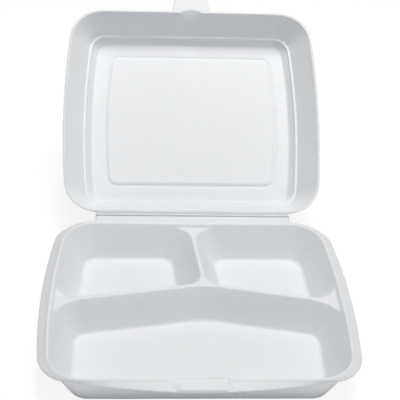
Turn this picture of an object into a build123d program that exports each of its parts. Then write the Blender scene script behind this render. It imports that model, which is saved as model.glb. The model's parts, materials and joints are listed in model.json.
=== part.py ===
from build123d import *
import math
import os

# Three-compartment hinged food box, thermoformed from one sheet of white
# polystyrene foam. Millimetres, +Z up. The tray stands on z = 0, the hinge runs
# along X at the back and the lid stands open behind it. The origin is the middle
# of the flat underside of the front compartment.

# sheet
SHEET = 3.0                 # foam thickness of the tray's floors and dividers
WALL = 3.4                  # the same sheet measured level across a drafted wall
EDGE = 1.4                  # pressed thickness of the hinge strip
TRIM = 1.1                  # pressed thickness at the brim's cut edge

# tray heights
RIM_Z = 30.0                # level part of the rim
BEAD = 0.5                  # rounded bead inside the rim, above RIM_Z
DIVIDER_DROP = 2.4          # the dividers stop this far below the rim
DIVIDER_Z = RIM_Z - DIVIDER_DROP
BRIM_DROP = 1.7             # the brim falls this much to its cut edge

# tray walls: half width and y, at the floor and at the top of the cavity
CAVITY_TOP = RIM_Z + 1.2
SIDE_FLOOR, SIDE_TOP = 94.4, 111.6
SIDE_BOW_FLOOR, SIDE_BOW_TOP = 4.0, 5.5
FRONT_FLOOR, FRONT_TOP = -37.9, -50.6
BACK_FLOOR, BACK_TOP = 123.2, 138.0
CORNER_FLOOR, CORNER_TOP = 12.0, 27.0
FLOOR_FILLET = 4.0
BASE_FILLET = 3.0
DIVIDER_ROUND = 1.0

# dividers: centre lines and half widths at the floor and at their own top
APEX = (6.5, 59.0)          # where the short divider meets the long one
SIDE_JOIN_Y = 37.0          # long divider's line at x = +-SIDE_JOIN_X
SIDE_JOIN_X = 112.0
BACK_JOIN_X = -2.3          # short divider's line at the back wall
LONG_FLOOR, LONG_TOP = 15.5, 1.6
SHORT_FLOOR, SHORT_TOP = 18.0, 1.4

# bead round the mouth: how far it stands out from the cavity's top
BEAD_OUT_SIDE, BEAD_OUT_FRONT, BEAD_OUT_BACK = 2.0, 1.7, 2.1
BEAD_SIDE = SIDE_TOP + BEAD_OUT_SIDE
BEAD_FRONT = FRONT_TOP - BEAD_OUT_FRONT
BEAD_BACK = BACK_TOP + BEAD_OUT_BACK
BEAD_BOW, BEAD_CORNER = 6.4, 28.5
BEAD_ROUND = 0.8

# lid rim: it drops over the bead with a named clearance
LID_CLEAR, LID_CLEAR_BACK = 0.5, 4.5
LID_EDGE = 2.2              # width of the lid's trimmed rim
LID_SIDE = BEAD_SIDE + LID_CLEAR + LID_EDGE
LID_FRONT = BEAD_FRONT - LID_CLEAR - LID_EDGE
LID_BACK = BEAD_BACK + LID_CLEAR_BACK + LID_EDGE
LID_BOW, LID_CORNER = 6.2, 31.0

# brim: it slopes from a narrow level strip round the bead to its cut edge, and
# its front edge bows out from the corners to carry the catch
PLATE = 1.8
SEAT_OUT, SEAT_OUT_BACK = 0.3, 2.9
SEAT_SIDE = BEAD_SIDE + SEAT_OUT
SEAT_FRONT = BEAD_FRONT - SEAT_OUT
SEAT_BACK = BEAD_BACK + SEAT_OUT_BACK
SEAT_BOW, SEAT_CORNER = BEAD_BOW, BEAD_CORNER + SEAT_OUT
BRIM_OUT_SIDE, BRIM_OUT_BACK = 6.5, 0.6
BRIM_FRONT_BOW, BRIM_FRONT_OUT = 13.0, 7.4
BRIM_SIDE = SEAT_SIDE + BRIM_OUT_SIDE
BRIM_FRONT = SEAT_FRONT - BRIM_FRONT_OUT + BRIM_FRONT_BOW
BRIM_BACK = SEAT_BACK + BRIM_OUT_BACK
BRIM_BOW, BRIM_CORNER = 7.0, 30.0

# hinge
HINGE_OUT = 3.2             # crease behind the lid's rim
HINGE_SHORT = 3.0           # leaf ends this far inside the rim's corner
HINGE_Y = LID_BACK + HINGE_OUT
HINGE_Z = RIM_Z + 0.15
HINGE_HALF = LID_SIDE - LID_CORNER - HINGE_SHORT
CREASE_GAP = 0.2            # each leaf stops this short of the crease
SCORE_WIDTH, SCORE_DEPTH = 0.7, 0.45
OPEN_DEG = 142.8            # lid swung back from closed

# lid, in its closed place above the tray; depths run up from its rim plane
LID_Z = RIM_Z + 0.3
LID_SHEET = 1.8
LID_WALL = 2.1

# ledge round the lid: depth, and how far it lies inside the rim
LEDGE_DEPTH = 23.6
LEDGE_IN_SIDE, LEDGE_IN_FRONT, LEDGE_IN_BACK = 17.1, 14.1, 15.9
LEDGE_SIDE = LID_SIDE - LEDGE_IN_SIDE
LEDGE_FRONT = LID_FRONT + LEDGE_IN_FRONT
LEDGE_BACK = LID_BACK - LEDGE_IN_BACK
LEDGE_BOW, LEDGE_CORNER = 5.2, 15.0
LEDGE_STEP = 0.8
LEDGE_ROUND = 0.6

# top panel: depth, and how far its edge lies inside the ledge
PANEL_DEPTH = 31.0
PANEL_IN_SIDE, PANEL_IN_END = 6.8, 6.4
PANEL_SIDE = LEDGE_SIDE - PANEL_IN_SIDE
PANEL_FRONT = LEDGE_FRONT + PANEL_IN_END
PANEL_BACK = LEDGE_BACK - PANEL_IN_END
PANEL_BOW, PANEL_CORNER = 4.8, 9.0
PANEL_ROUND = 2.0

# raised field in the panel, with sloping flanks
FIELD_IN_SIDE, FIELD_IN_FRONT, FIELD_IN_BACK = 14.6, 14.7, 16.3
FIELD_BOW, FIELD_CORNER = 4.0, 6.0
FIELD_RISE, FIELD_FLANK = 0.7, 2.4

# catch at the front
TAB_BASE, TAB_TIP, TAB_LENGTH, TAB_CORNER = 18.5, 15.3, 14.0, 4.0
TAB_SHEET = 1.6
NOTCH_HALF, NOTCH_OUT, NOTCH_DEPTH = 10.0, 3.2, 9.0
LUG_HALF, LUG_ROUND = 20.0, 1.4
SLOT_HALF, SLOT_WIDTH = 18.5, 0.5
SLOT_OUT = 2.1              # slit in front of the bead's line
JOG = 2.7                   # the bead steps back this far behind the slit
CHANNEL = 0.6               # depth of the channel between the bead and the slit


def along(z, low, high, z_low=SHEET, z_high=CAVITY_TOP):
    return low + (high - low) * (z - z_low) / (z_high - z_low)


def meet(p, d, q, e):
    # crossing of the lines p + t*d and q + u*e
    cross = d[0] * e[1] - d[1] * e[0]
    t = ((q[0] - p[0]) * e[1] - (q[1] - p[1]) * e[0]) / cross
    return (p[0] + t * d[0], p[1] + t * d[1])


def shifted(a, b, amount):
    # the line a-b moved to its right-hand side, as a point and a direction
    length = math.hypot(b[0] - a[0], b[1] - a[1])
    d = ((b[0] - a[0]) / length, (b[1] - a[1]) / length)
    return (a[0] + d[1] * amount, a[1] - d[0] * amount), d


def outline(corners, middles, radii, z):
    # closed flat face: corners in order, an optional middle point of each edge
    edges = []
    for i, start in enumerate(corners):
        end = corners[(i + 1) % len(corners)]
        if middles[i] is None:
            edges.append(Edge.make_line((*start, z), (*end, z)))
        else:
            edges.append(Edge.make_three_point_arc((*start, z), (*middles[i], z), (*end, z)))
    face = Face(Wire(edges))
    for corner, radius in zip(corners, radii):
        near = min(face.vertices(), key=lambda v: math.dist((v.X, v.Y), corner))
        face = face.fillet_2d(radius, [near])
    return face


def barrel(half, bow, front, back, front_bow, radius, z):
    # rectangle with bowed sides and a bowed front edge
    middle = (front + back) / 2
    end = half - bow
    corners = [(-end, front), (end, front), (end, back), (-end, back)]
    middles = [(0, front - front_bow), (half, middle), None, (-half, middle)]
    if front_bow == 0:
        middles[0] = None
    return outline(corners, middles, [radius] * 4, z)


def between(low, high):
    return Solid.make_loft([low.outer_wire(), high.outer_wire()], ruled=True)


def side_x(y, z, grow):
    half = along(z, SIDE_FLOOR, SIDE_TOP) + grow
    bow = along(z, SIDE_BOW_FLOOR, SIDE_BOW_TOP)
    middle = (FRONT_TOP + BACK_TOP) / 2
    reach = (BACK_TOP - FRONT_TOP) / 2
    return half - bow * ((y - middle) / reach) ** 2


def on_side(line, z, grow, sign):
    # where a divider's line runs out into the side wall
    (px, py), (dx, dy) = line
    y = SIDE_JOIN_Y
    for _ in range(4):
        x = sign * side_x(y, z, grow)
        y = py + (x - px) * dy / dx
    return (x, y)


def side_middle(a, b, z, grow, sign):
    y = (a[1] + b[1]) / 2
    return (sign * side_x(y, z, grow), y)


def long_width(z):
    return along(z, LONG_FLOOR, LONG_TOP, SHEET, DIVIDER_Z)


def short_width(z):
    return along(z, SHORT_FLOOR, SHORT_TOP, SHEET, DIVIDER_Z)


def corner_radius(z, low, high, grow):
    return along(z, low, high) + grow


def front_pocket(z, grow=0.0):
    wall = along(z, FRONT_FLOOR, FRONT_TOP) - grow
    width = long_width(z) - grow
    left = shifted((-SIDE_JOIN_X, SIDE_JOIN_Y), APEX, width)
    right = shifted(APEX, (SIDE_JOIN_X, SIDE_JOIN_Y), width)
    fl = (-side_x(wall, z, grow), wall)
    fr = (side_x(wall, z, grow), wall)
    br = on_side(right, z, grow, 1)
    bl = on_side(left, z, grow, -1)
    apex = meet(*left, *right)
    corners = [fl, fr, br, apex, bl]
    middles = [None, side_middle(fr, br, z, grow, 1), None, None,
               side_middle(fl, bl, z, grow, -1)]
    outer = corner_radius(z, CORNER_FLOOR, CORNER_TOP, grow)
    inner = corner_radius(z, 11.0, 21.0, grow)
    return outline(corners, middles, [outer, outer, inner, 60.0, inner], z)


def rear_pocket(z, sign, grow=0.0):
    wall = along(z, BACK_FLOOR, BACK_TOP) + grow
    long_part = long_width(z) - grow
    short_part = short_width(z) - grow
    if sign < 0:
        front = shifted((-SIDE_JOIN_X, SIDE_JOIN_Y), APEX, -long_part)
        inner = shifted((BACK_JOIN_X, BACK_TOP), APEX, short_part)
    else:
        front = shifted(APEX, (SIDE_JOIN_X, SIDE_JOIN_Y), -long_part)
        inner = shifted((BACK_JOIN_X, BACK_TOP), APEX, -short_part)
    back_out = (sign * side_x(wall, z, grow), wall)
    back_in = meet(*inner, (0, wall), (1, 0))
    front_in = meet(*front, *inner)
    front_out = on_side(front, z, grow, sign)
    corners = [front_out, front_in, back_in, back_out]
    middles = [None, None, None, side_middle(front_out, back_out, z, grow, sign)]
    radii = [
        corner_radius(z, 10.0, 16.0, grow),
        corner_radius(z, 9.0, 13.0, grow),
        corner_radius(z, 9.0, 18.0, grow),
        corner_radius(z, CORNER_FLOOR, CORNER_TOP, grow),
    ]
    return outline(corners, middles, radii, z)


def rim_outline(z, grow=0.0):
    return barrel(
        along(z, SIDE_FLOOR, SIDE_TOP) + grow,
        along(z, SIDE_BOW_FLOOR, SIDE_BOW_TOP),
        along(z, FRONT_FLOOR, FRONT_TOP) - grow,
        along(z, BACK_FLOOR, BACK_TOP) + grow,
        0,
        corner_radius(z, CORNER_FLOOR, CORNER_TOP, grow),
        z,
    )


def level_edges(solid, z):
    found = ShapeList()
    for edge in solid.edges():
        box = edge.bounding_box()
        if abs(box.min.Z - z) < 0.01 and abs(box.max.Z - z) < 0.01:
            found.append(edge)
    return found


def foot_rounded(solid, z, radius):
    return solid.fillet(radius, level_edges(solid, z))


pockets = [front_pocket, lambda z, grow=0.0: rear_pocket(z, -1, grow),
           lambda z, grow=0.0: rear_pocket(z, 1, grow)]


def slab(make, low, high):
    # straight plate between two heights; make(z) gives its outline
    return extrude(make(low), high - low, dir=(0, 0, 1))


def block(x, y, z):
    # box from three (low, high) pairs
    size = [high - low for low, high in (x, y, z)]
    middle = [(low + high) / 2 for low, high in (x, y, z)]
    return Pos(*middle) * Box(*size)


def seat(z):
    return barrel(SEAT_SIDE, SEAT_BOW, SEAT_FRONT, SEAT_BACK, 0.3, SEAT_CORNER, z)


def brim(z):
    return barrel(BRIM_SIDE, BRIM_BOW, BRIM_FRONT, BRIM_BACK, BRIM_FRONT_BOW, BRIM_CORNER, z)


def bead(z):
    return barrel(BEAD_SIDE, BEAD_BOW, BEAD_FRONT, BEAD_BACK, 0, BEAD_CORNER, z)


def make_rim():
    edge_top = RIM_Z - BRIM_DROP
    plate = between(brim(edge_top), seat(RIM_Z)) + slab(brim, edge_top - TRIM, edge_top)
    plate = plate - between(brim(edge_top - TRIM), seat(RIM_Z - PLATE))
    ring = slab(bead, RIM_Z - 0.5, RIM_Z + BEAD)
    ring = ring.fillet(BEAD * 0.9, level_edges(ring, RIM_Z + BEAD))
    collar = between(rim_outline(DIVIDER_Z - SHEET, WALL - 0.4),
                     rim_outline(RIM_Z - 1.0, WALL - 0.4))
    return plate + ring + collar


def add_catch(tray):
    # the bead steps back, a shallow channel leads to a slit, and a level lug
    # with a rounded front stands before it
    slot = BEAD_FRONT - SLOT_OUT
    inner = FRONT_TOP + JOG
    top = RIM_Z + BEAD
    step = block((-LUG_HALF, LUG_HALF), (FRONT_TOP, inner), (RIM_Z - 5.5, top))
    step = step.fillet(1.2, step.edges().filter_by(Axis.Z).sort_by(Axis.Y)[-2:])
    step = step.fillet(0.45, step.faces().sort_by(Axis.Z)[-1].edges())
    lug = slab(brim, RIM_Z - BRIM_DROP - TRIM, RIM_Z)
    lug = lug & block((-LUG_HALF, LUG_HALF), (-90, slot), (0, RIM_Z + 5))
    lug = lug.fillet(LUG_ROUND, level_edges(lug, RIM_Z).sort_by(Axis.Y)[:1])
    channel = block((-SLOT_HALF, SLOT_HALF), (slot, inner - BEAD_OUT_FRONT), (RIM_Z - CHANNEL, top + 1))
    cut = block((-SLOT_HALF, SLOT_HALF), (slot - SLOT_WIDTH / 2, slot + SLOT_WIDTH / 2),
                (RIM_Z - 4, top + 1))
    return tray + step + lug - channel - cut


def is_inner(edge):
    # on the mouth of the tray rather than on the bead's outer side
    line = rim_outline(RIM_Z + BEAD).outer_wire()
    return line.distance_to(Vertex(*(edge @ 0.5))) < 0.5


def make_tray():
    shells = [foot_rounded(between(p(0, WALL), p(RIM_Z - EDGE, WALL)), 0, BASE_FILLET)
              for p in pockets]
    cavities = [foot_rounded(between(p(SHEET), p(CAVITY_TOP)), SHEET, FLOOR_FILLET)
                for p in pockets]
    tray = make_rim()
    for shell in shells:
        tray = tray + shell
    tray = tray - between(rim_outline(DIVIDER_Z, -0.3), rim_outline(CAVITY_TOP, -0.3))
    for cavity in cavities:
        tray = tray - cavity
    tray = tray.fillet(DIVIDER_ROUND, level_edges(tray, DIVIDER_Z))
    inner = [e for e in level_edges(tray, RIM_Z + BEAD) if is_inner(e)]
    tray = tray.fillet(BEAD_ROUND, inner)
    tray = add_catch(tray)
    leaf = block((-HINGE_HALF, HINGE_HALF), (BRIM_BACK - 1.5, HINGE_Y - CREASE_GAP),
                 (RIM_Z - EDGE, RIM_Z))
    groove = block((-HINGE_HALF, HINGE_HALF), (BRIM_BACK, BRIM_BACK + SCORE_WIDTH),
                   (RIM_Z - SCORE_DEPTH, RIM_Z + 1))
    return tray + leaf - groove


def lid_wall(depth, grow=0.0):
    # steep wall from the rim to the ledge
    e = LID_EDGE
    rim = LID_SIDE - e, LID_FRONT + e, LID_BACK - e, LID_BOW, LID_CORNER - e
    ledge = LEDGE_SIDE, LEDGE_FRONT, LEDGE_BACK, LEDGE_BOW, LEDGE_CORNER
    return lid_ring(depth, rim, ledge, 0.0, LEDGE_DEPTH, grow)


def lid_step(depth, grow=0.0):
    # second, lower wall from the ledge to the flat panel
    s = LEDGE_STEP
    ledge = LEDGE_SIDE - s, LEDGE_FRONT + s, LEDGE_BACK - s, LEDGE_BOW, LEDGE_CORNER - s
    panel = PANEL_SIDE, PANEL_FRONT, PANEL_BACK, PANEL_BOW, PANEL_CORNER
    return lid_ring(depth, ledge, panel, LEDGE_DEPTH, PANEL_DEPTH, grow)


def lid_ring(depth, low, high, low_depth, high_depth, grow):
    side, front, back, bow, radius = [
        along(depth, a, b, low_depth, high_depth) for a, b in zip(low, high)]
    return barrel(side + grow, bow, front - grow, back + grow, 0.5, radius + grow, LID_Z + depth)


def field(depth, grow):
    side = PANEL_SIDE - FIELD_IN_SIDE + grow
    front = PANEL_FRONT + FIELD_IN_FRONT - grow
    back = PANEL_BACK - FIELD_IN_BACK + grow
    return barrel(side, FIELD_BOW, front, back, 0.5, FIELD_CORNER + grow, LID_Z + depth)


def field_block(depth, over):
    # the raised field's frustum; it runs on past the panel's face by over
    spread = FIELD_FLANK / FIELD_RISE
    return between(field(depth - FIELD_RISE, -FIELD_FLANK / 2),
                   field(depth + over, FIELD_FLANK / 2 + over * spread))


def ellipse_at(rx, ry, y, z):
    return Pos(0, y, z) * Ellipse(rx, ry)


def notch(grow):
    # the front wall swells outward at the tab's root
    fall = NOTCH_DEPTH * (LEDGE_FRONT - LID_FRONT) / LEDGE_DEPTH
    y = LID_FRONT + LID_EDGE
    top = ellipse_at(NOTCH_HALF + grow, NOTCH_OUT + grow, y, LID_Z)
    deep = ellipse_at(NOTCH_HALF * 0.5 + grow, 0.6 + grow, y + fall, LID_Z + NOTCH_DEPTH)
    return Solid.make_loft([top.wire(), deep.wire()], ruled=True)


def make_tab():
    y = LID_FRONT
    tip = y - TAB_LENGTH
    shape = outline([(-TAB_TIP, tip), (TAB_TIP, tip), (TAB_BASE, y + 1), (-TAB_BASE, y + 1)],
                    [None] * 4, [TAB_CORNER, TAB_CORNER], LID_Z)
    return extrude(shape, TAB_SHEET, dir=(0, 0, 1))


def make_lid():
    deep = PANEL_DEPTH + LID_SHEET
    lid = between(lid_wall(0, LID_EDGE), lid_wall(LEDGE_DEPTH + LID_SHEET, LID_WALL))
    crown = between(lid_step(LEDGE_DEPTH + 1.0, LID_WALL), lid_step(deep, LID_WALL))
    lid = lid + crown.fillet(2.5, level_edges(crown, LID_Z + deep))
    lid = lid + make_tab() + notch(LID_EDGE)
    hollow = between(lid_step(LEDGE_DEPTH - 0.7), lid_step(PANEL_DEPTH))
    hollow = hollow.fillet(PANEL_ROUND, level_edges(hollow, LID_Z + PANEL_DEPTH))
    lid = lid - between(lid_wall(0), lid_wall(LEDGE_DEPTH)) - hollow - notch(0)
    lid = lid.fillet(LEDGE_ROUND, level_edges(lid, LID_Z + LEDGE_DEPTH))
    lid = lid + field_block(PANEL_DEPTH, 0.3) - field_block(deep, 0.0)
    leaf = block((-HINGE_HALF, HINGE_HALF), (LID_BACK - 1.3, HINGE_Y - CREASE_GAP),
                 (LID_Z, LID_Z + EDGE))
    groove = block((-HINGE_HALF, HINGE_HALF), (LID_BACK, LID_BACK + SCORE_WIDTH),
                   (LID_Z - 1, LID_Z + SCORE_DEPTH))
    return lid + leaf - groove


hinge = Axis((0, HINGE_Y, HINGE_Z), (1, 0, 0))
tray = make_tray()
lid = make_lid().rotate(hinge, -OPEN_DEG)

os.makedirs("parts", exist_ok=True)
export_step(tray, "parts/tray.step")
export_step(lid, "parts/lid.step")
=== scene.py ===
import json
import math

import bmesh
import bpy
import numpy as np
from mathutils import Matrix, Vector

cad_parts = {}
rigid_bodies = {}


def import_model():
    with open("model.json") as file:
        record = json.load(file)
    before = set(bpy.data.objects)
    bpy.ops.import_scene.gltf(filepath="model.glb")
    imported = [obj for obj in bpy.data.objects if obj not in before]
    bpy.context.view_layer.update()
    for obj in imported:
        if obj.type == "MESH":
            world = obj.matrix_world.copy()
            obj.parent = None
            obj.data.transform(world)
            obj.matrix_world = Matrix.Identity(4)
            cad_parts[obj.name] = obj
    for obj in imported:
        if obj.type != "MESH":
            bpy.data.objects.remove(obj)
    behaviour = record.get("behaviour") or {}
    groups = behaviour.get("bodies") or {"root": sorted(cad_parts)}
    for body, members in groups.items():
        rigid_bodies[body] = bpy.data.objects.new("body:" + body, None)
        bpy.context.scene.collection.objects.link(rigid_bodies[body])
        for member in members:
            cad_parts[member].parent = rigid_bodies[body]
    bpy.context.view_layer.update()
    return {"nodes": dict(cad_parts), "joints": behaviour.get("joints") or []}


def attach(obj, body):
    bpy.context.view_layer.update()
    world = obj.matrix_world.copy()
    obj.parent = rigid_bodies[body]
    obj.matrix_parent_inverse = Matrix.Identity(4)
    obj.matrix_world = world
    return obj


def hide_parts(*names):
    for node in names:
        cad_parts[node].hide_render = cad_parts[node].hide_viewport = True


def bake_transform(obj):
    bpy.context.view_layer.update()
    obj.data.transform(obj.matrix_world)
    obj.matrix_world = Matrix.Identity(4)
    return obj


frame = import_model()

MM = 0.001

# studio, in metres: each lamp's place, size and power
LAMPS = {
    "top": ((0.15, 0.14, 1.6), (0.7, 0.7), 20.2),
    "side": ((0.9, -0.9, 1.3), (0.8, 0.8), 1.2),
    "front": ((0, -1.3, 0.14), (1.2, 0.2), 1.9),
}
LAMP_AIM = (0, 0.12, 0.04)
LAMP_COLOUR = (1.0, 0.985, 0.94)
SKY_COLOUR, SKY_STRENGTH = (0.86, 0.93, 1, 1), 0.19
WHITE = (1, 1, 1, 1)
PAPER_HALF, PAPER_HEIGHT = 4, -0.0003
PAPER_COLOUR = (0.96, 0.96, 0.96, 1)
PAPER_SEEN, PAPER_GLOW = (0.2, 0.2, 0.2, 1), 0.85

# hinge, as in the solids: the open lid rises behind the crease
HINGE_Y = 150 * MM
HINGE_Z = 30.15 * MM
OPEN_RISE = math.radians(180 - 142.8)
LID_COS, LID_SIN = math.cos(OPEN_RISE), math.sin(OPEN_RISE)
HINGE_HALF = 82.3 * MM
BRIM_BACK = 143.0 * MM
LID_LEAF = 3.1 * MM
LEAF_MIDDLE, LEAF_THIN, LEAF_SINK = 0.85 * MM, 0.15, 0.45 * MM

# hinge strip: pads and ends are distances from the crease, towards the lid positive
STRIP_HALF = 84.0 * MM
STRIP_TOP, STRIP_UNDER, PRESSED = 0.12 * MM, 1.6 * MM, 1.1 * MM
STRIP_PADS = [(-5.4 * MM, -0.7 * MM), (0.7 * MM, 2.3 * MM)]
STRIP_ENDS = (-6.3 * MM, 3.2 * MM)
PAD_STEPS, UNDER_STEPS, BEND_STEPS, STRIP_STATIONS = 16, 6, 12, 160
STRIP_SWELL = 0.05 * MM

# foam skin
FOAM_SHADE = (0.78, 0.797, 0.834, 1)
FOAM_LIGHT = (0.80, 0.813, 0.846, 1)
FOAM_ROUGHNESS, FOAM_SPECULAR = 0.52, 0.35
CLOUD_SCALE, CELL_SCALE, GRAIN_SCALE, PATCH_SCALE = 60, 520, 260, 14
CELL_SHARE = 0.5
PATCH_RANGE, RELIEF_RANGE = (0.35, 0.7), (0.25, 1)
RELIEF_DEPTH = 0.15 * MM
WELD = 0.002 * MM
VOXEL = 0.6 * MM
CLOSE, NEAR = 1.5 * VOXEL, 2 * VOXEL
SOFTEN, SOFTEN_FACTOR = 2, 0.5
FACE_BUDGET = 190000
WAVE_COUNT, WAVE_SPREAD = 12, (0.7, 1.4)
SWELL, SWELL_LENGTH = 0.2 * MM, 45 * MM
PUCKER, PUCKER_LENGTH = 0.04 * MM, 9 * MM
TRAY_SEED, LID_SEED, STRIP_SEED = 5, 9, 3

# brim and catch; a shape is half width, side bow, front, back and corner radius
SEAT_SHAPE = 113.9 * MM, 6.4 * MM, -52.6 * MM, 143.0 * MM, 28.8 * MM
BRIM_WIDTH, BRIM_FALL, BRIM_SAG, SAG_LIMIT = 6.5 * MM, 1.7 * MM, 1.5 * MM, 1.2
BEAD_SHAPE = 113.6 * MM, 6.4 * MM, -52.3 * MM, 140.1 * MM, 28.5 * MM
BEAD_FOOT, BEAD_MIDDLE, BEAD_REACH, BEAD_LIFT = 30.1 * MM, 1.1 * MM, 1.6 * MM, 0.35 * MM
LAND_X, LAND_Y, LAND_FOOT = 100.5 * MM, 36.0 * MM, 26.9 * MM
LAND_WIDE, LAND_LONG, LAND_DISH = 6.0 * MM, 9.0 * MM, 1.3 * MM
LUG_HALF, LUG_RUN, LUG_FOOT = 20.0 * MM, 5.0 * MM, 28.3 * MM
SLIT_Y, SLIT_HALF, SLIT_REACH = -54.4 * MM, 18.5 * MM, 0.6 * MM
SLIT_FLOOR, SLIT_DEPTH = 28.8 * MM, 1.2 * MM
LIP_Y, LIP_REACH, LIP_LIFT = -57.3 * MM, 2.6 * MM, 0.4 * MM
LINE_Y, LINE_REACH, LINE_DEPTH = 141.3 * MM, 0.9 * MM, 1.0 * MM

# lid, measured as it lies shut
RIM_GAP = 0.15 * MM
RIM_SHAPE = 116.3 * MM, 6.2 * MM, -55.0 * MM, 146.8 * MM, 31.0 * MM
RIM_FACE, RIM_REACH, RIM_BEAD, RIM_ROUND = 2.2 * MM, 1.0 * MM, 0.35 * MM, 0.1 * MM
WALL_RUN = 13.7 * MM
BACK_LINE_FROM, BACK_LINE_IN, BACK_LINE_REACH, BACK_LINE = 100 * MM, 6.5 * MM, 1.2 * MM, 0.4 * MM
BACK_LINE_RUN = 5 * BACK_LINE_REACH
LEDGE_SHAPE = 99.2 * MM, 5.2 * MM, -40.9 * MM, 130.9 * MM, 15.0 * MM
LEDGE_DEPTH, LEDGE_STEP, STEP_SLOPE = 23.6 * MM, 0.8 * MM, 1.23
LEDGE_WIDE, LEDGE_LIFT = 1.8 * MM, 0.3 * MM
PANEL_DEPTH = 30.7 * MM
FIELD_SHAPE = 77.8 * MM, 4.0 * MM, -19.8 * MM, 108.2 * MM, 6.0 * MM
FIELD_FOOT, FIELD_LIFT, FIELD_LINE = 1.8 * MM, 0.2 * MM, 0.5 * MM


def link(obj):
    bpy.context.scene.collection.objects.link(obj)
    return obj


def make_camera():
    # fitted to the photograph: outlines of tray and lid, hinge line, ledge and floors
    elevation = math.radians(32.77)
    azimuth = math.radians(-3.74)
    roll = math.radians(2.60)
    distance = 832.9 * MM
    focal_px, picture_px = 932.07, 400
    target = Vector((7.37 * MM, HINGE_Y + 26.62 * MM, HINGE_Z))
    back = Vector((
        math.sin(azimuth) * math.cos(elevation),
        -math.cos(azimuth) * math.cos(elevation),
        math.sin(elevation),
    ))
    right = Vector((0, 0, 1)).cross(back).normalized()
    up = back.cross(right)
    right_r = math.cos(roll) * right + math.sin(roll) * up
    up_r = math.cos(roll) * up - math.sin(roll) * right
    place = Matrix((right_r, up_r, back)).transposed().to_4x4()
    place.translation = target + distance * back
    data = bpy.data.cameras.new("camera")
    data.sensor_width = 36
    data.lens = focal_px * data.sensor_width / picture_px
    data.clip_start = 0.01
    data.clip_end = 20
    camera = link(bpy.data.objects.new("camera", data))
    camera.matrix_world = place
    bpy.context.scene.camera = camera


def make_lamps():
    for name, (place, size, power) in LAMPS.items():
        data = bpy.data.lights.new(name, "AREA")
        data.shape = "RECTANGLE"
        data.size, data.size_y = size
        data.energy = power
        data.color = LAMP_COLOUR
        lamp = link(bpy.data.objects.new(name, data))
        lamp.location = place
        lamp.rotation_euler = (Vector(LAMP_AIM) - Vector(place)).to_track_quat("-Z", "Y").to_euler()


def make_world():
    # the camera sees white, and the part is lit by a dim, cool sky
    world = bpy.data.worlds.new("studio")
    world.use_nodes = True
    bpy.context.scene.world = world
    nodes, links = world.node_tree.nodes, world.node_tree.links
    nodes.clear()
    out = nodes.new("ShaderNodeOutputWorld")
    mix = nodes.new("ShaderNodeMixShader")
    seen = nodes.new("ShaderNodeBackground")
    light = nodes.new("ShaderNodeBackground")
    path = nodes.new("ShaderNodeLightPath")
    seen.inputs["Color"].default_value = WHITE
    seen.inputs["Strength"].default_value = 1
    light.inputs["Color"].default_value = SKY_COLOUR
    light.inputs["Strength"].default_value = SKY_STRENGTH
    links.new(path.outputs["Is Camera Ray"], mix.inputs["Fac"])
    links.new(light.outputs[0], mix.inputs[1])
    links.new(seen.outputs[0], mix.inputs[2])
    links.new(mix.outputs[0], out.inputs["Surface"])


def make_paper():
    # white paper to the light that it throws back; the camera sees it with a glow
    # added, so that it is white and its shadow is faint
    mat = bpy.data.materials.new("floor_paper")
    mat.use_nodes = True
    nodes, links = mat.node_tree.nodes, mat.node_tree.links
    nodes.clear()
    out = nodes.new("ShaderNodeOutputMaterial")
    paper = nodes.new("ShaderNodeBsdfDiffuse")
    seen = nodes.new("ShaderNodeBsdfDiffuse")
    glow = nodes.new("ShaderNodeEmission")
    add = nodes.new("ShaderNodeAddShader")
    mix = nodes.new("ShaderNodeMixShader")
    path = nodes.new("ShaderNodeLightPath")
    paper.inputs["Color"].default_value = PAPER_COLOUR
    seen.inputs["Color"].default_value = PAPER_SEEN
    glow.inputs["Color"].default_value = WHITE
    glow.inputs["Strength"].default_value = PAPER_GLOW
    links.new(seen.outputs[0], add.inputs[0])
    links.new(glow.outputs[0], add.inputs[1])
    links.new(path.outputs["Is Camera Ray"], mix.inputs["Fac"])
    links.new(paper.outputs[0], mix.inputs[1])
    links.new(add.outputs[0], mix.inputs[2])
    links.new(mix.outputs[0], out.inputs["Surface"])
    return mat


def make_floor():
    mesh = bpy.data.meshes.new("floor")
    s = PAPER_HALF
    mesh.from_pydata([(-s, -s, 0), (s, -s, 0), (s, s, 0), (-s, s, 0)], [], [(0, 1, 2, 3)])
    floor = link(bpy.data.objects.new("floor", mesh))
    floor.location.z = PAPER_HEIGHT
    mesh.materials.append(make_paper())


def points_of(mesh, field="co"):
    values = np.empty(len(mesh.vertices) * 3)
    mesh.vertices.foreach_get(field, values)
    return values.reshape(-1, 3)


def put_points(mesh, co):
    mesh.vertices.foreach_set("co", co.ravel())
    mesh.update()


def welded_copy(node, name):
    mesh = frame["nodes"][node].data.copy()
    mesh.materials.clear()
    work = bmesh.new()
    work.from_mesh(mesh)
    bmesh.ops.remove_doubles(work, verts=work.verts, dist=WELD)
    work.to_mesh(mesh)
    work.free()
    return link(bpy.data.objects.new(name, mesh))


def apply_modifiers(obj):
    graph = bpy.context.evaluated_depsgraph_get()
    mesh = bpy.data.meshes.new_from_object(obj.evaluated_get(graph))
    obj.modifiers.clear()
    obj.data = mesh


def remesh(obj):
    # an even skin of small quads, its edges softened as pressed foam has them
    skin = obj.modifiers.new("skin", "REMESH")
    skin.mode = "VOXEL"
    skin.voxel_size = VOXEL
    soft = obj.modifiers.new("soften", "SMOOTH")
    soft.factor = SOFTEN_FACTOR
    soft.iterations = SOFTEN
    apply_modifiers(obj)


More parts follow.
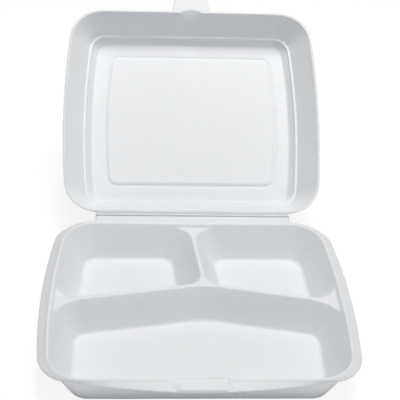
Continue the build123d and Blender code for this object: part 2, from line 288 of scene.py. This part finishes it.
def waves(co, length, seed):
    # smooth value in -1..1 for each point, from a few sines in fixed random directions
    rng = np.random.default_rng(seed)
    total = np.zeros(len(co))
    for _ in range(WAVE_COUNT):
        way = rng.normal(size=3)
        way *= 2 * math.pi / length * rng.uniform(*WAVE_SPREAD) / np.linalg.norm(way)
        total += np.sin(co @ way + rng.uniform(0, 2 * math.pi))
    return total / WAVE_COUNT


def make_uneven(obj, seed):
    # the sheet's slow swell and the finer pucker of the foam's skin
    co = points_of(obj.data)
    normal = points_of(obj.data, field="normal")
    move = SWELL * waves(co, SWELL_LENGTH, seed) + PUCKER * waves(co, PUCKER_LENGTH, seed + 1)
    put_points(obj.data, co + normal * move[:, None])


def thin_out(obj):
    triangles = 2 * len(obj.data.polygons)
    thin = obj.modifiers.new("thin", "DECIMATE")
    thin.ratio = min(1.0, FACE_BUDGET / triangles)
    apply_modifiers(obj)


def hinge_coordinates(co):
    # distance from the crease along the open lid, and height on its inner side
    y = co[:, 1] - HINGE_Y
    z = co[:, 2] - HINGE_Z
    return y * LID_COS + z * LID_SIN, z * LID_COS - y * LID_SIN


def smooth_step(value, low, high):
    t = np.clip((value - low) / (high - low), 0, 1)
    return t * t * (3 - 2 * t)


def hump(value, middle, reach):
    return np.clip(1 - ((value - middle) / reach) ** 2, 0, 1)


def outside(x, y, shape):
    # distance from a bowed rectangle with round corners, negative inside it
    half, bow, front, back, corner = shape
    middle, reach = (front + back) / 2, (back - front) / 2
    qx = np.abs(x) + bow * ((y - middle) / reach) ** 2 - half + corner
    qy = np.abs(y - middle) - reach + corner
    return np.minimum(np.maximum(qx, qy), 0) + np.hypot(np.maximum(qx, 0), np.maximum(qy, 0)) - corner


def thin_tray_leaf(co):
    # makes room for the hinge strip, which covers both leaves
    middle = HINGE_Z - LEAF_MIDDLE
    leaf = (np.abs(co[:, 0]) < HINGE_HALF + VOXEL) & (co[:, 1] > BRIM_BACK)
    co[leaf, 2] = middle + (co[leaf, 2] - middle) * LEAF_THIN - LEAF_SINK


def raise_bead(co):
    x, y, z = co.T
    bead = z > BEAD_FOOT
    lift = BEAD_LIFT * hump(outside(x, y, BEAD_SHAPE), -BEAD_MIDDLE, BEAD_REACH)
    lift[(np.abs(x) < LUG_HALF + NEAR) & (y < 0)] = 0
    co[bead, 2] += lift[bead]


def dish_lands(co):
    # the broad ends of the long divider are slightly hollow
    x, y, z = co.T
    land = z > LAND_FOOT
    far = ((np.abs(x) - LAND_X) / LAND_WIDE) ** 2 + ((y - LAND_Y) / LAND_LONG) ** 2
    co[land, 2] -= (LAND_DISH * np.exp(-far))[land]


def lug_share(x):
    # 1 along the catch's lug, running out to 0 at its ends
    return 1 - smooth_step(np.abs(x), LUG_HALF - LUG_RUN, LUG_HALF)


def sag_brim(co):
    # the brim droops towards its edge, except at the hinge, and the ends of the
    # catch's lug run out softly into it
    x, y, z = co.T
    d = outside(x, y, SEAT_SHAPE)
    lug = lug_share(x)
    lug[y > SLIT_Y + VOXEL] = 0
    off_hinge = 1 - smooth_step(y, HINGE_Y - 2 * BRIM_WIDTH, HINGE_Y - BRIM_WIDTH)
    share = np.clip(d / BRIM_WIDTH, 0, SAG_LIMIT)
    sag = BRIM_SAG * share * off_hinge
    step = (np.abs(x) < LUG_HALF + VOXEL) & (y < SLIT_Y) & (z > LUG_FOOT + VOXEL)
    sag[step] += (BRIM_FALL * share * (1 - lug))[step]
    brim = (d > 0) & (z > LUG_FOOT - 2 * BRIM_FALL)
    co[brim, 2] -= sag[brim]
    low = step & (co[:, 2] < LUG_FOOT - BRIM_SAG)
    co[low, 2] = LUG_FOOT - BRIM_SAG


def lift_lip(co):
    # the lug's front half swells into a rounded lip
    x, y, z = co.T
    lip = (z > LUG_FOOT + VOXEL) & (np.abs(x) < LUG_HALF) & (y < SLIT_Y)
    lift = LIP_LIFT * hump(y, LIP_Y, LIP_REACH) * lug_share(x)
    co[lip, 2] += lift[lip]


def press_back_line(co):
    # pressed line along the hinge side, right behind the bead
    x, y, z = co.T
    line = (z > SLIT_FLOOR) & (np.abs(x) < STRIP_HALF)
    co[line, 2] -= (LINE_DEPTH * hump(y, LINE_Y, LINE_REACH))[line]


def press_slit(co):
    # narrower than a voxel, so it is pressed in here
    across = 1 - np.abs(co[:, 1] - SLIT_Y) / SLIT_REACH
    slit = (across > 0) & (np.abs(co[:, 0]) < SLIT_HALF) & (co[:, 2] > SLIT_FLOOR)
    co[slit, 2] -= SLIT_DEPTH * across[slit]


def shape_tray(co):
    thin_tray_leaf(co)
    raise_bead(co)
    dish_lands(co)
    sag_brim(co)
    lift_lip(co)
    press_back_line(co)
    press_slit(co)


def rim_relief(x, y, depth):
    # a bead along the inner side of the rim's face, and its outer edge rounded
    d = outside(x, y, RIM_SHAPE)
    rim = (depth < RIM_REACH) & (d > -RIM_FACE - RIM_REACH) & (d < RIM_REACH)
    bead = RIM_BEAD * hump(d, -RIM_FACE, RIM_REACH) - RIM_ROUND * hump(d, 0, RIM_REACH)
    return np.where(rim, bead, 0)


def back_line_relief(x, y, depth):
    # a faint line in the steep wall beside the hinge
    d = outside(x, y, RIM_SHAPE)
    back = smooth_step(y, BACK_LINE_FROM, BACK_LINE_FROM + BACK_LINE_RUN)
    wall = depth - (-RIM_FACE - d) * LEDGE_DEPTH / WALL_RUN
    fold = (np.abs(wall) < NEAR) & (depth > RIM_REACH) & (depth < LEDGE_DEPTH / 2)
    return np.where(fold, BACK_LINE * back * hump(d, -BACK_LINE_IN, BACK_LINE_REACH), 0)


def ledge_relief(x, y, depth):
    # the ledge goes on level for a little, where the second wall starts in the solids
    d = outside(x, y, LEDGE_SHAPE)
    wall = LEDGE_DEPTH + np.clip(-LEDGE_STEP - d, 0, None) * STEP_SLOPE
    ledge = (np.abs(depth - wall) < CLOSE) & (d > -LEDGE_WIDE - VOXEL) & (d < VOXEL)
    rise = (depth - LEDGE_DEPTH + LEDGE_LIFT) * smooth_step(d, -LEDGE_WIDE - VOXEL, -LEDGE_WIDE)
    return np.where(ledge, np.clip(rise, 0, None), 0)


def field_relief(x, y, depth):
    # the panel's raised field and the pressed line round it
    d = outside(x, y, FIELD_SHAPE)
    panel = np.abs(depth - PANEL_DEPTH) < NEAR
    rise = FIELD_LIFT * smooth_step(-d, -FIELD_FOOT, FIELD_FOOT)
    line = FIELD_LINE * hump(d, FIELD_FOOT, FIELD_FOOT)
    return np.where(panel, rise - line, 0)


def shape_lid(co):
    # worked out on the closed lid: y towards the hinge, depth up from the rim's face
    s, t = hinge_coordinates(co)
    x, y, depth = co[:, 0], HINGE_Y - s, -t - RIM_GAP
    leaf = (np.abs(x) < HINGE_HALF + VOXEL) & (s < LID_LEAF)
    thinned = (LEAF_THIN - 1) * (t + LEAF_MIDDLE) - LEAF_SINK
    move = np.where(leaf, thinned, rim_relief(x, y, depth))
    move += back_line_relief(x, y, depth)
    move += ledge_relief(x, y, depth)
    move += field_relief(x, y, depth)
    co[:, 1] -= move * LID_SIN
    co[:, 2] += move * LID_COS


def foam_piece(name, node, body, foam, seed, shape):
    obj = welded_copy(node, name)
    remesh(obj)
    co = points_of(obj.data)
    shape(co)
    put_points(obj.data, co)
    make_uneven(obj, seed)
    thin_out(obj)
    obj.data.shade_smooth()
    obj.data.materials.append(foam)
    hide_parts(node)
    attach(obj, body)


def strip_point(s, t):
    # along the tray's leaf before the crease and up the open lid after it
    if s < 0:
        return HINGE_Y + s, HINGE_Z + t
    return HINGE_Y + s * LID_COS - t * LID_SIN, HINGE_Z + s * LID_SIN + t * LID_COS


def strip_ring():
    # closed section of the hinge strip: soft pads between the pressed lines on the
    # inner side, then back under the lid's leaf, round the crease and under the tray's
    ring = [strip_point(STRIP_ENDS[0], -PRESSED)]
    for start, end in STRIP_PADS:
        for step in range(PAD_STEPS + 1):
            share = step / PAD_STEPS
            rise = math.sin(math.pi * share) ** 0.5
            height = -PRESSED + (PRESSED - STRIP_TOP) * rise
            ring.append(strip_point(start + (end - start) * share, height))
    ring.append(strip_point(STRIP_ENDS[1], -PRESSED))
    for step in range(UNDER_STEPS):
        ring.append(strip_point(STRIP_ENDS[1] * (1 - step / UNDER_STEPS), -STRIP_UNDER))
    for step in range(BEND_STEPS + 1):
        turn = OPEN_RISE * (1 - step / BEND_STEPS)
        ring.append((HINGE_Y + STRIP_UNDER * math.sin(turn), HINGE_Z - STRIP_UNDER * math.cos(turn)))
    for step in range(1, UNDER_STEPS + 1):
        ring.append(strip_point(STRIP_ENDS[0] * (step / UNDER_STEPS), -STRIP_UNDER))
    return ring


def strip_mesh(ring):
    # the section repeated along the hinge and closed at both ends
    work = bmesh.new()
    rows = []
    for station in range(STRIP_STATIONS + 1):
        x = STRIP_HALF * (2 * station / STRIP_STATIONS - 1)
        rows.append([work.verts.new((x, y, z)) for y, z in ring])
    for left, right in zip(rows, rows[1:]):
        for i in range(len(ring)):
            j = (i + 1) % len(ring)
            work.faces.new((left[i], left[j], right[j], right[i]))
    work.faces.new(rows[0][::-1])
    work.faces.new(rows[-1])
    bmesh.ops.recalc_face_normals(work, faces=work.faces)
    bmesh.ops.triangulate(work, faces=[f for f in work.faces if len(f.verts) > 4])
    mesh = bpy.data.meshes.new("hinge_strip")
    work.to_mesh(mesh)
    work.free()
    return mesh


def make_strip(foam):
    mesh = strip_mesh(strip_ring())
    obj = link(bpy.data.objects.new("hinge_strip", mesh))
    co = points_of(mesh)
    normal = points_of(mesh, field="normal")
    put_points(mesh, co + normal * (STRIP_SWELL * waves(co, PUCKER_LENGTH, STRIP_SEED))[:, None])
    mesh.shade_smooth()
    mesh.materials.append(foam)
    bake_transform(obj)


def noise(nodes, scale, detail):
    texture = nodes.new("ShaderNodeTexNoise")
    texture.inputs["Scale"].default_value = scale
    texture.inputs["Detail"].default_value = detail
    return texture


def add_clouds(nodes, links, place, bsdf):
    # faint clouding of the white
    clouds = noise(nodes, CLOUD_SCALE, 3)
    tint = nodes.new("ShaderNodeMix")
    tint.data_type = "RGBA"
    tint.inputs["A"].default_value = FOAM_SHADE
    tint.inputs["B"].default_value = FOAM_LIGHT
    links.new(place, clouds.inputs["Vector"])
    links.new(clouds.outputs["Fac"], tint.inputs["Factor"])
    links.new(tint.outputs["Result"], bsdf.inputs["Base Color"])


def add_relief(nodes, links, place, bsdf):
    # low relief of the foam's cells, stronger in some patches than in others
    cells = nodes.new("ShaderNodeTexVoronoi")
    cells.feature = "SMOOTH_F1"
    cells.inputs["Scale"].default_value = CELL_SCALE
    grain = noise(nodes, GRAIN_SCALE, 4)
    relief = nodes.new("ShaderNodeMath")
    relief.operation = "MULTIPLY_ADD"
    relief.inputs[1].default_value = CELL_SHARE
    patches = noise(nodes, PATCH_SCALE, 1)
    depth = nodes.new("ShaderNodeMapRange")
    depth.inputs["From Min"].default_value = PATCH_RANGE[0]
    depth.inputs["From Max"].default_value = PATCH_RANGE[1]
    depth.inputs["To Min"].default_value = RELIEF_RANGE[0]
    depth.inputs["To Max"].default_value = RELIEF_RANGE[1]
    bump = nodes.new("ShaderNodeBump")
    bump.inputs["Distance"].default_value = RELIEF_DEPTH
    for texture in (cells, grain, patches):
        links.new(place, texture.inputs["Vector"])
    links.new(cells.outputs["Distance"], relief.inputs[0])
    links.new(grain.outputs["Fac"], relief.inputs[2])
    links.new(relief.outputs[0], bump.inputs["Height"])
    links.new(patches.outputs["Fac"], depth.inputs["Value"])
    links.new(depth.outputs["Result"], bump.inputs["Strength"])
    links.new(bump.outputs["Normal"], bsdf.inputs["Normal"])


def make_foam():
    # white polystyrene foam with a soft sheen
    mat = bpy.data.materials.new("foam")
    mat.use_nodes = True
    nodes, links = mat.node_tree.nodes, mat.node_tree.links
    bsdf = nodes["Principled BSDF"]
    bsdf.inputs["Roughness"].default_value = FOAM_ROUGHNESS
    bsdf.inputs["Specular IOR Level"].default_value = FOAM_SPECULAR
    place = nodes.new("ShaderNodeTexCoord").outputs["Object"]
    add_clouds(nodes, links, place, bsdf)
    add_relief(nodes, links, place, bsdf)
    return mat


bpy.context.scene.view_settings.view_transform = "Standard"
make_camera()
make_lamps()
make_world()
make_floor()
foam = make_foam()
for node in frame["nodes"].values():
    node.data.materials.clear()
    node.data.materials.append(foam)
tray_body = frame["joints"][0]["parent"]
lid_body = frame["joints"][0]["child"]
foam_piece("tray_foam", "tray", tray_body, foam, TRAY_SEED, shape_tray)
foam_piece("lid_foam", "lid", lid_body, foam, LID_SEED, shape_lid)
make_strip(foam)
